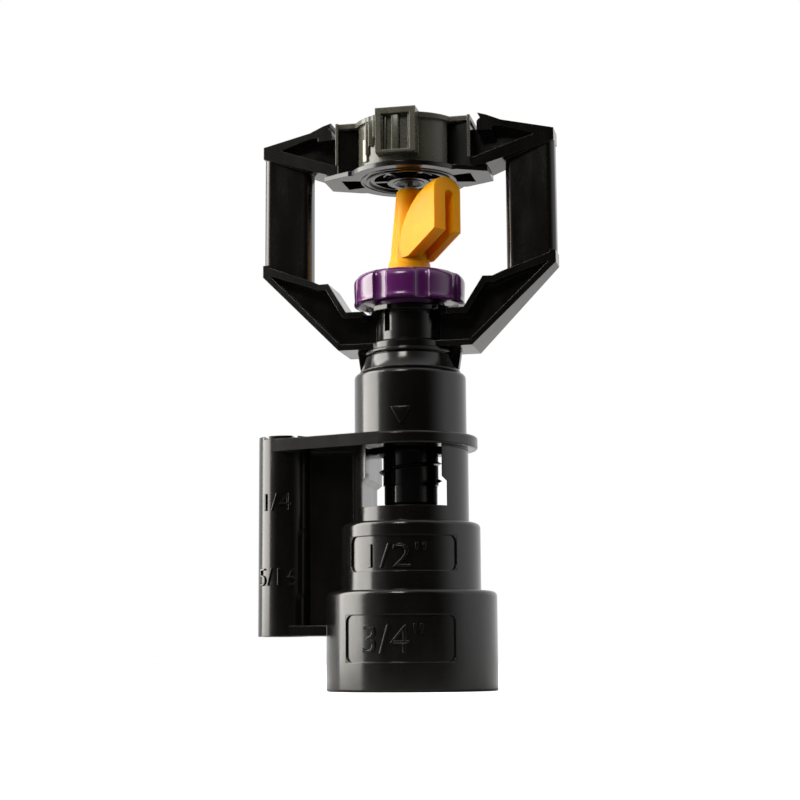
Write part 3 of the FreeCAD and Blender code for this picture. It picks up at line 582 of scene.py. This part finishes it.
@dataclass(frozen=True)
class Studio:
    """Camera, pale floor and soft light."""

    azimuth: float = 9.67
    distance: float = 306.6
    height: float = 5.18
    pitch: float = 8.63
    roll: float = -0.37
    yaw: float = 0.35
    lens: float = 77.46
    floor_half: float = 3000.0
    # Floor levels seen by rays other than the camera's: painted shade, strong in front and faint
    # behind.
    near_painted_shade: float = 0.06
    far_painted_shade: float = 0.8
    floor_glow: float = 0.55
    near_edge: float = -0.12
    far_edge: float = 0.1
    room_fade: tuple[float, float] = (0.15, 0.85)
    room_dark: float = 0.02
    lamp_tint: tuple[float, float, float] = (1.0, 0.965, 0.9)
    aim_height: float = 55.0
    left_place: tuple[float, float, float] = (-560.0, -85.0, 160.0)
    left_size: tuple[float, float] = (460.0, 900.0)
    left_radiance: float = 8.5
    glow_place: tuple[float, float, float] = (-150.0, -700.0, 620.0)
    glow_size: tuple[float, float] = (240.0, 240.0)
    glow_radiance: float = 14.0

    def camera(self) -> None:
        """Places the camera low in front, turned up towards the bridge.

        It looks along (-sin h cos p, cos h cos p, sin p) with heading h and pitch p, and
        rolls about that line.
        """
        a, h = np.radians(self.azimuth), np.radians(self.azimuth + self.yaw)
        p, r = np.radians(self.pitch), np.radians(self.roll)
        eye = np.array([self.distance * np.sin(a), -self.distance * np.cos(a), self.height]) * MM
        look = np.array([-np.sin(h) * np.cos(p), np.cos(h) * np.cos(p), np.sin(p)])
        side = np.cross(look, (0.0, 0.0, 1.0))
        side /= np.linalg.norm(side)
        up = np.cross(side, look)
        right = side * np.cos(r) + up * np.sin(r)
        rise = -side * np.sin(r) + up * np.cos(r)
        lens = bpy.data.cameras.new("camera")
        lens.lens, lens.sensor_width = self.lens, 36.0
        lens.clip_start, lens.clip_end = 0.005, 20.0
        camera = bpy.data.objects.new("camera", lens)
        bpy.context.scene.collection.objects.link(camera)
        rows = np.eye(4)
        rows[:3, 0], rows[:3, 1], rows[:3, 2], rows[:3, 3] = right, rise, -look, eye
        camera.matrix_world = Matrix(rows.tolist())
        bpy.context.scene.camera = camera

    def floor(self) -> None:
        """Pale matt floor under the pipe socket.

        Seen in the plastic it carries painted shade: its level falls from a lighter level behind
        the object to a dark level in front, as a floor does between a lit backdrop and a dark room.
        """
        h = self.floor_half
        verts = np.array([[-h, -h, -0.02], [h, -h, -0.02], [h, h, -0.02], [-h, h, -0.02]])
        piece = make_piece("floor", verts, [[0, 1, 2, 3]])
        n = Nodes("pale_floor_painted_shade")
        fleck = n.ranged(n.noise(0.02, 2.0), 0.86, 0.9)
        seen = n.add("ShaderNodeLightPath").outputs["Is Camera Ray"]
        along = n.add("ShaderNodeSeparateXYZ", {"Vector": n.place}).outputs["Y"]
        # Painted shade: seen by other rays, the floor darkens towards the front.
        painted_floor_shade = n.ranged(along, self.near_painted_shade, self.far_painted_shade, self.near_edge, self.far_edge)
        share = n.add("ShaderNodeMath", {"#0": seen, "#1": painted_floor_shade},
                      operation="MAXIMUM").outputs[0]
        level = n.add("ShaderNodeMath", {"#0": fleck, "#1": share},
                      operation="MULTIPLY").outputs[0]
        tone = n.add("ShaderNodeCombineColor", {"Red": level, "Green": level, "Blue": level})
        n.link(tone.outputs["Color"], "Base Color")
        glow = n.add("ShaderNodeMath", {"#0": seen, "#1": self.floor_glow},
                     operation="MULTIPLY").outputs[0]
        n.link(glow, "Emission Strength")
        n.shader.inputs["Roughness"].default_value = 0.9
        n.shader.inputs["Specular IOR Level"].default_value = 0.1
        n.shader.inputs["Emission Color"].default_value = (1.0, 1.0, 1.0, 1.0)
        piece.data.materials.append(n.material)

    def light(self) -> None:
        """Tall soft box on the left, a small one high in front and a room white behind."""
        self.panel("left_box", self.left_place, self.left_size, self.left_radiance)
        self.panel("front_glow", self.glow_place, self.glow_size, self.glow_radiance)
        world = bpy.data.worlds.new("white_room")
        bpy.context.scene.world = world
        world.use_nodes = True
        tree = world.node_tree
        back = tree.nodes["Background"]
        place = tree.nodes.new("ShaderNodeTexCoord")
        dot = tree.nodes.new("ShaderNodeVectorMath")
        dot.operation = "DOT_PRODUCT"
        a = np.radians(self.azimuth)
        dot.inputs[1].default_value = (np.sin(a), -np.cos(a), 0.0)
        tree.links.new(place.outputs["Generated"], dot.inputs[0])
        ramp = tree.nodes.new("ShaderNodeMapRange")
        ramp.interpolation_type = "SMOOTHSTEP"
        low, high = self.room_fade
        for key, value in (("From Min", low), ("From Max", high), ("To Min", 1.0),
                           ("To Max", self.room_dark)):
            ramp.inputs[key].default_value = value
        tree.links.new(dot.outputs["Value"], ramp.inputs["Value"])
        path = tree.nodes.new("ShaderNodeLightPath")
        pick = tree.nodes.new("ShaderNodeMath")
        pick.operation = "MAXIMUM"
        tree.links.new(ramp.outputs["Result"], pick.inputs[0])
        tree.links.new(path.outputs["Is Camera Ray"], pick.inputs[1])
        tree.links.new(pick.outputs[0], back.inputs["Strength"])
        back.inputs["Color"].default_value = (1.0, 1.0, 1.0, 1.0)

    def panel(self, name: str, place: tuple[float, float, float], size: tuple[float, float],
              glow: float) -> None:
        """Area light that faces the object.

        Args:
            name: Name of the light.
            place: Its centre in millimetres.
            size: Its width and height in millimetres.
            glow: Its radiance.
        """
        light = bpy.data.lights.new(name, "AREA")
        light.shape = "RECTANGLE"
        light.color = self.lamp_tint
        light.size, light.size_y = size[0] * MM, size[1] * MM
        light.energy = glow * np.pi * light.size * light.size_y
        lamp = bpy.data.objects.new(name, light)
        bpy.context.scene.collection.objects.link(lamp)
        eye = np.array(place) * MM
        look = np.array([0.0, 0.0, self.aim_height * MM]) - eye
        look /= np.linalg.norm(look)
        side = np.cross(look, (0.0, 0.0, 1.0))
        side /= np.linalg.norm(side)
        rows = np.eye(4)
        rows[:3, 0], rows[:3, 1], rows[:3, 2], rows[:3, 3] = side, np.cross(side, look), -look, eye
        lamp.matrix_world = Matrix(rows.tolist())


# --------------------------------------------------------------------------- pieces


@dataclass
class Nozzle:
    """Purple bayonet nozzle: a knob with eight finger grooves on a plain spigot."""

    outer: float = 10.1
    low: float = 68.75
    high: float = 74.3
    crown: float = 1.6
    grooves: int = 8
    groove_half: float = 1.45
    groove_deep: float = 0.8
    fade_from: float = 8.6
    first_turn: float = 22.1
    steps: int = 576

    def profile(self) -> np.ndarray:
        """Closed (r, z) loop from the spigot's foot up the knob and down the bore.

        Returns:
            Rows of r and z.
        """
        o, lo, hi = self.outer, self.low, self.high
        a = np.linspace(0.0, np.pi / 2.0, 8)
        r = self.crown
        crown = np.stack([o - r + r * np.cos(a), hi - r + r * np.sin(a)], 1)
        rim = np.array([(8.75, lo + 0.25), (8.95, lo), (o - 0.35, lo), (o - 0.05, lo + 0.15),
                        (o, lo + 0.45), (o - 0.12, lo + 0.75), (o - 0.1, lo + 1.4),
                        (o - 0.02, hi - 2.3)])
        dish = np.array([(7.9, hi + 0.01), (7.2, hi - 0.05), (6.6, hi - 0.32), (5.2, hi - 0.36),
                         (4.6, hi - 0.1), (3.2, hi + 0.06), (1.6, hi + 0.06), (0.9, hi - 0.1),
                         (0.65, hi - 0.5)])
        bore = np.array([(0.65, 72.6), (3.2, 70.6), (3.4, 69.0), (3.4, 62.6), (3.6, 62.2),
                         (4.3, 62.2),
                         (4.52, 62.45), (4.52, 63.85), (4.0, 63.9), (4.0, 64.5), (4.52, 64.55),
                         (4.52, 68.3), (6.2, 68.4), (6.4, 69.1), (8.5, 69.35)])
        return np.vstack([rim, crown, dish, bore])

    def reach(self, r: np.ndarray, z: np.ndarray, t: np.ndarray) -> np.ndarray:
        """Radius with the grooves pressed in.

        A groove is a circular scoop: its depth is deep times the root of 1 - (w / half)^2,
        with w the arc from the groove's middle, and it fades in above the spigot's radius.

        Args:
            r: Radii of the plain turning.
            z: Heights; not used.
            t: Angles from the front.

        Returns:
            The changed radii.
        """
        pitch = 2.0 * np.pi / self.grooves
        turn = t - np.radians(self.first_turn) + pitch / 2.0
        w = (np.mod(turn, pitch) - pitch / 2.0) * self.outer
        scoop = np.sqrt(np.clip(1.0 - (w / self.groove_half) ** 2, 0.0, 1.0)) * self.groove_deep
        share = np.clip((r - self.fade_from) / (self.outer - self.fade_from), 0.0, 1.0)
        return r - scoop * share

    def build(self, shop: Workshop) -> None:
        """Makes the knob and stands it in for its CAD node.

        Args:
            shop: Gives the piece its finish and body.
        """
        verts, faces = lathe(self.profile(), self.steps, self.reach)
        piece = make_piece("nozzle_knob", verts, faces, sharp=28.0)
        shop.fit(piece, Body.NOZZLE, Slot.PURPLE)
        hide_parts("nozzle")


@dataclass
class Spinner:
    """Orange deflector: a tapered post with an arched, slotted wing."""

    turn: float = -37.0
    base: float = 3.85
    low: float = 74.5
    base_high: float = 77.1
    post_low: float = 3.5
    post_high: float = 2.25
    top: float = 90.4
    reach: float = 10.0
    wing_low: float = 77.2
    tip_low: float = 81.2
    wing_high: float = 91.0
    half: float = 3.3
    slot_half: float = 1.05
    slot_side: float = 0.5

    def post(self) -> tuple[np.ndarray, list]:
        """Base ring, cone and shaft mouth as one ring surface round a narrow bore.

        Returns:
            The vertices and the faces.
        """
        profile = np.array([
            (1.3, self.low), (self.base - 0.3, self.low), (self.base, self.low + 0.3),
            (self.base, self.base_high - 0.7), (self.base - 0.12, self.base_high - 0.25),
            (self.post_low + 0.1, self.base_high), (self.post_low, self.base_high + 0.4),
            (self.post_low - 0.1, self.base_high + 1.2), (self.post_high + 0.62, 84.0),
            (self.post_high + 0.1, self.top - 0.9), (self.post_high, self.top - 0.25),
            (self.post_high - 0.2, self.top), (0.85, self.top), (0.8, self.top - 0.4),
            (0.8, 80.0), (1.3, 78.3)])
        return lathe(profile, 96)

    def wing(self) -> tuple[np.ndarray, list]:
        """Inverted trough that grows along the reach.

        At reach x the outer arch runs up one side, over a half round of the wing's
        thickness and down the other, its crown at low + rise sqrt(1 - ((10 - x) / 10)^2);
        the slot inside is the same path drawn in to the slot's width.

        Returns:
            The vertices and the faces.
        """
        x = np.concatenate([10.0 - 9.93 * np.cos(np.linspace(0.0, np.pi / 2.0, 34))[:-1], [10.0]])
        crown = self.wing_low + (self.wing_high - self.wing_low) * np.sqrt(
            np.clip(1.0 - ((10.0 - x) / 10.0) ** 2, 0.0, 1.0))
        bottom = np.where(x > 3.0, self.wing_low + (x - 3.0) * (self.tip_low - self.wing_low) / 7.0,
                          self.wing_low)
        bottom = np.minimum(bottom, crown - 0.15)
        a = np.linspace(np.pi, 0.0, 25)
        rise = np.minimum(2.3, (crown - bottom) * 0.8)
        side = np.linspace(0.0, 1.0, 7)[:-1]

        def path(left: float, right: float, top: np.ndarray, lift: np.ndarray) -> np.ndarray:
            """Points of one trough wall, shape (stations, path, 3)."""
            middle, wide = (left + right) / 2.0, (right - left) / 2.0
            arch_y = np.broadcast_to(middle + wide * np.cos(a), (len(x), len(a)))
            arch_z = (top - lift)[:, None] + lift[:, None] * np.sin(a)[None]
            up = bottom[:, None] + (top - lift - bottom)[:, None] * side[None]
            y = np.concatenate([np.full(up.shape, left), arch_y, np.full(up.shape, right)], 1)
            z = np.concatenate([up, arch_z, up[:, ::-1]], 1)
            return np.stack([np.broadcast_to(x[:, None], y.shape), y, z], -1)

        outer = path(-self.half, self.half, crown, rise)
        roof = np.maximum(np.minimum(crown - 2.3, 88.7), bottom + 0.05)
        lift = np.minimum(0.8, (roof - bottom) * 0.8)
        inner = path(self.slot_side - self.slot_half, self.slot_side + self.slot_half, roof, lift)
        return shell(outer, inner)

    def build(self, shop: Workshop) -> None:
        """Makes the deflector and stands it in for its CAD node.

        Args:
            shop: Gives the piece its finish and body.
        """
        verts, faces = merged([self.post(), self.wing()])
        piece = make_piece("deflector", turned(verts, self.turn), faces, sharp=38.0)
        shop.fit(piece, Body.PLATE, Slot.ORANGE, 0.16)
        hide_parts("spinner_plate")


@dataclass
class Lettering:
    """Raised size fractions on the sockets and the rod tube, and the start mark."""

    raise_by: float = 0.32
    rod_x: float = -22.95

    def text(self, words: str, high: float, wide: float) -> tuple[np.ndarray, list]:
        """Flat raised numerals as (along, up, out) points round their middle.

        Args:
            words: The numerals.
            high: Height in millimetres.
            wide: Width in millimetres.

        Returns:
            The vertices and the faces.
        """
        curve = bpy.data.curves.new("numerals", "FONT")
        curve.body = words
        curve.extrude = 0.02
        curve.bevel_depth = 0.006
        curve.bevel_resolution = 1
        curve.resolution_u = 6
        curve.offset = -0.012
        holder = bpy.data.objects.new("numerals", curve)
        bpy.context.scene.collection.objects.link(holder)
        mesh = bpy.data.meshes.new_from_object(
            holder.evaluated_get(bpy.context.evaluated_depsgraph_get()))
        verts = np.empty(len(mesh.vertices) * 3)
        mesh.vertices.foreach_get("co", verts)
        verts = verts.reshape(-1, 3)
        faces = [list(p.vertices) for p in mesh.polygons]
        bpy.data.objects.remove(holder)
        bpy.data.curves.remove(curve)
        bpy.data.meshes.remove(mesh)
        low, top = verts.min(0), verts.max(0)
        flat = (verts - (low + top) / 2.0) / (top - low)
        return flat * [wide, high, 2.0 * self.raise_by], faces

    def build(self, shop: Workshop) -> None:
        """Wraps each fraction on its cylinder.

        Args:
            shop: Gives the piece its finish and body.
        """
        for name, words, high, wide, radius, x, z, heading in (
                ("mark_3_4", '3/4"', 5.0, 10.8, 14.75, 0.0, 9.0, -3.8),
                ("mark_1_2", '1/2"', 4.3, 10.4, 11.95, 0.0, 23.2, -3.4),
                ("mark_1_4", "1/4", 3.1, 5.0, 4.9, self.rod_x, 33.4, -6.0),
                ("mark_5_16", "5/16", 3.1, 7.4, 4.9, self.rod_x, 20.1, -8.0)):
            flat, faces = self.text(words, high, wide)
            verts = wrapped(flat + [0.0, z, 0.0], radius, (x, 0.0), heading)
            shop.fit(make_piece(name, verts, faces, 30.0), Body.HEAD, Slot.BLACK)
        loop = rounded_loop([(-1.8, 1.6), (0.0, -1.6), (1.8, 1.6)], 0.35)
        outer, faces = pad(loop, -0.1, 0.22, 0.08)
        verts = wrapped(outer + [0.0, 47.6, 0.0], 10.05, heading=-0.5)
        shop.fit(make_piece("start_mark", verts, faces, 30.0), Body.HEAD, Slot.BLACK)


@dataclass
class PanelCorners:
    """Small quarter-round fillers in the corners of the two sunk label panels."""

    corner: float = 1.3
    deep: float = 0.49
    sunk: float = 0.01

    def filler(self, right: bool, top: bool) -> np.ndarray:
        """Concave-sided corner outline, its square corner at the origin.

        The arc is the quarter of a circle of the corner's radius whose centre lies the radius
        in from both sides.

        Args:
            right: Whether the corner is on the right.
            top: Whether it is at the top.

        Returns:
            The outline, counter-clockwise.
        """
        a = np.linspace(np.pi / 2.0, 0.0, 7)
        r = self.corner
        arc = np.stack([-r + r * np.sin(a[::-1]), -r + r * np.cos(a[::-1])], 1)
        loop = np.vstack([[(0.0, 0.0)], arc])
        loop *= [1.0 if right else -1.0, 1.0 if top else -1.0]
        return loop if right == top else loop[::-1]

    def build(self, shop: Workshop) -> None:
        """Fills the eight corners, four to a panel, in two pieces.

        Args:
            shop: Gives the piece its finish and body.
        """
        for name, outer, low, high, half in (("panel_corners_3_4", 15.1, 5.0, 13.0, 39.0),
                                             ("panel_corners_1_2", 12.3, 20.5, 26.6, 49.0)):
            parts = []
            for side in (-1.0, 1.0):
                for height, top in ((low, False), (high, True)):
                    loop = self.filler(side > 0.0, top)
                    flat = np.stack([loop[:, 0], loop[:, 1] + height], 1)
                    front = np.column_stack([flat, np.zeros(len(flat))])
                    back = front - [0.0, 0.0, self.deep]
                    verts = wrapped(np.vstack([front, back]) - [0.0, 0.0, self.sunk], outer,
                                    heading=side * half)
                    n = len(flat)
                    k = np.arange(n)
                    faces = [k.tolist(), (k[::-1] + n).tolist()]
                    faces += np.stack([(k + 1) % n, k, k + n, (k + 1) % n + n], 1).tolist()
                    parts.append((verts, faces))
            shop.fit(make_piece(name, *merged(parts), 30.0), Body.HEAD, Slot.BLACK)


@dataclass
class CapDetails:
    """Fluted fronts and thumb steps of the snap cap, with pale tabs that are a painted highlight on
    its corners.
    """

    turn: float = HEAD_TURN

    def bars(self) -> list[tuple[np.ndarray, float, float]]:
        """Convex (across, out) outlines with their lower and upper heights.

        Returns:
            Outline, lower height and upper height of each bar.
        """
        def bar(left: float, right: float, back: float, front: float, edge: float) -> np.ndarray:
            """Rounded box outline of one upright bar."""
            return rounded_loop(
                [(left, -front), (right, -front), (right, -back), (left, -back)], edge)

        return [
            (bar(-0.85, 0.6, 10.4, 11.2, 0.28), 95.15, 101.7),
            (bar(-2.05, -1.75, 10.4, 10.95, 0.1), 95.15, 101.7),
            (bar(-2.55, -2.35, 10.4, 11.25, 0.08), 95.15, 101.7),
            (bar(2.2, 2.55, 10.4, 11.15, 0.12), 95.15, 101.7),
            (bar(-4.6, -3.6, 8.0, 9.45, 0.2), 98.2, 102.35),
            (bar(-5.6, -4.5, 7.2, 8.75, 0.2), 96.9, 102.35),
            (bar(-6.3, -5.5, 6.6, 8.1, 0.2), 95.4, 102.35),
        ]

    def build(self, shop: Workshop) -> None:
        """Makes the bars at the front and, half a turn on, at the back.

        Args:
            shop: Gives the piece its finish and body.
        """
        parts = []
        for loop, low, high in self.bars():
            verts, faces = pad(loop, low, high, 0.08)
            parts.append((turned(verts, self.turn), faces))
            parts.append((turned(verts, self.turn + 180.0), faces))
        shop.fit(make_piece("cap_flutes", *merged(parts), 30.0), Body.CAP, Slot.GREY)
        # Cream tabs at the front-left corner and half a turn on: a painted highlight, a lit copy of
        # the grey cap in a paler plastic.
        tab = rounded_loop([(-6.9, -7.3), (-6.1, -7.9), (-5.9, -7.6), (-6.7, -7.0)], 0.06)
        verts, faces = pad(tab, 94.3, 98.4, 0.06)
        both = [(turned(verts, self.turn + half), faces) for half in (0.0, 180.0)]
        shop.fit(make_piece("painted_highlight_tabs", *merged(both), 30.0), Body.CAP, Slot.BEARING)


@dataclass
class NeckRings:
    """Turned rings of the head: cone over the sleeve, neck lip and barrel root."""

    def build(self, shop: Workshop) -> None:
        """Makes the rings as closed lathe turnings round the stem.

        Args:
            shop: Gives the piece its finish and body.
        """
        rings = {
            "neck_cone": [(7.3, 56.35), (9.0, 56.35), (9.1, 56.6), (8.75, 57.1), (8.3, 58.3),
                          (8.05, 59.2), (7.75, 59.35), (7.3, 59.35)],
            "neck_lip": [(7.2, 59.55), (7.9, 59.6), (8.1, 59.85), (8.05, 60.15), (7.75, 60.35),
                         (7.2, 60.4)],
            "barrel_root": [(5.7, 61.1), (6.75, 61.15), (6.6, 61.5), (6.2, 61.95), (5.9, 62.2),
                            (5.7, 62.2)],
        }
        for name, profile in rings.items():
            shop.fit(turning(name, profile), Body.HEAD, Slot.BLACK)


@dataclass
class HubDetails:
    """Snap tips seen through the hub's ports, and the rims round the brake's mouth."""

    turn: float = HEAD_TURN

    def build(self, shop: Workshop) -> None:
        """Makes the tips and the mouth rims.

        Args:
            shop: Gives the piece its finish and body.
        """
        parts = []
        for x in (-10.3, 10.3):
            loop = rounded_loop(
                [(x - 1.2, -1.1), (x + 1.2, -1.1), (x + 1.2, 1.1), (x - 1.2, 1.1)], 0.25)
            verts, faces = pad(loop, 93.2, 96.0, 0.25)
            parts.append((turned(verts, self.turn), faces))
        shop.fit(make_piece("snap_tips", *merged(parts), 30.0), Body.HEAD, Slot.GLOSS)
        rims = {
            "mouth_rim": [(7.25, 92.35), (7.3, 92.1), (7.55, 92.0), (7.8, 92.1), (7.85, 92.35)],
            "pocket_rim": [(8.35, 92.35), (8.4, 92.18), (8.6, 92.12), (8.8, 92.18), (8.85, 92.35)],
            "brake_rim": [(4.25, 93.32), (4.3, 92.9), (4.55, 92.8), (4.8, 92.9), (4.85, 93.32)],
            "hub_rim": [(2.5, 91.92), (2.52, 91.8), (2.7, 91.75), (2.9, 91.8), (2.92, 91.92)],
        }
        for name, profile in rims.items():
            shop.fit(turning(name, profile), Body.HEAD, Slot.GLOSS)


CAD_FINISHES: dict[str, Slot] = {
    "pipe_adapter": Slot.BLACK, "bridge_frame": Slot.BLACK, "feed_barb": Slot.GLOSS,
    "barb_seal": Slot.RUBBER, "nozzle_seal": Slot.RUBBER, "rotor_shaft": Slot.STEEL,
    "drive_pin": Slot.STEEL, "plate_thrust_washer": Slot.BEARING, "brake_rotor": Slot.BEARING,
    "upper_thrust_washer": Slot.BEARING, "brake_housing": Slot.GLOSS, "shaft_seal": Slot.RUBBER,
    "lower_bearing": Slot.BEARING, "lower_thrust_washer": Slot.BEARING,
    "upper_bearing": Slot.BEARING, "housing_lid": Slot.GLOSS, "lid_seal": Slot.RUBBER,
    "cap": Slot.GREY,
}


def corners(box: Any) -> list[list[float]]:
    """Lowest and highest corner of a box as plain lists.

    Args:
        box: Two corners, lowest first.

    Returns:
        Two lists of three numbers.
    """
    return [[float(v) for v in corner] for corner in box]


def main() -> None:
    """Loads the frame, dresses it, adds the pieces and sets the studio."""
    logging.basicConfig(level=logging.INFO, format="%(message)s")
    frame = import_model()
    shop = Workshop(frame["nodes"])
    bpy.context.scene.view_settings.view_transform = "Standard"
    studio = Studio()
    studio.camera()
    studio.floor()
    studio.light()
    for node, slot in CAD_FINISHES.items():
        shop.dress(node, slot)
        log.info("dressed %s as %s", node, slot.value)
    for assembly in (Nozzle(), Spinner(), Lettering(), PanelCorners(), CapDetails(),
                     NeckRings(), HubDetails()):
        assembly.build(shop)


if __name__ == "__main__":
    main()
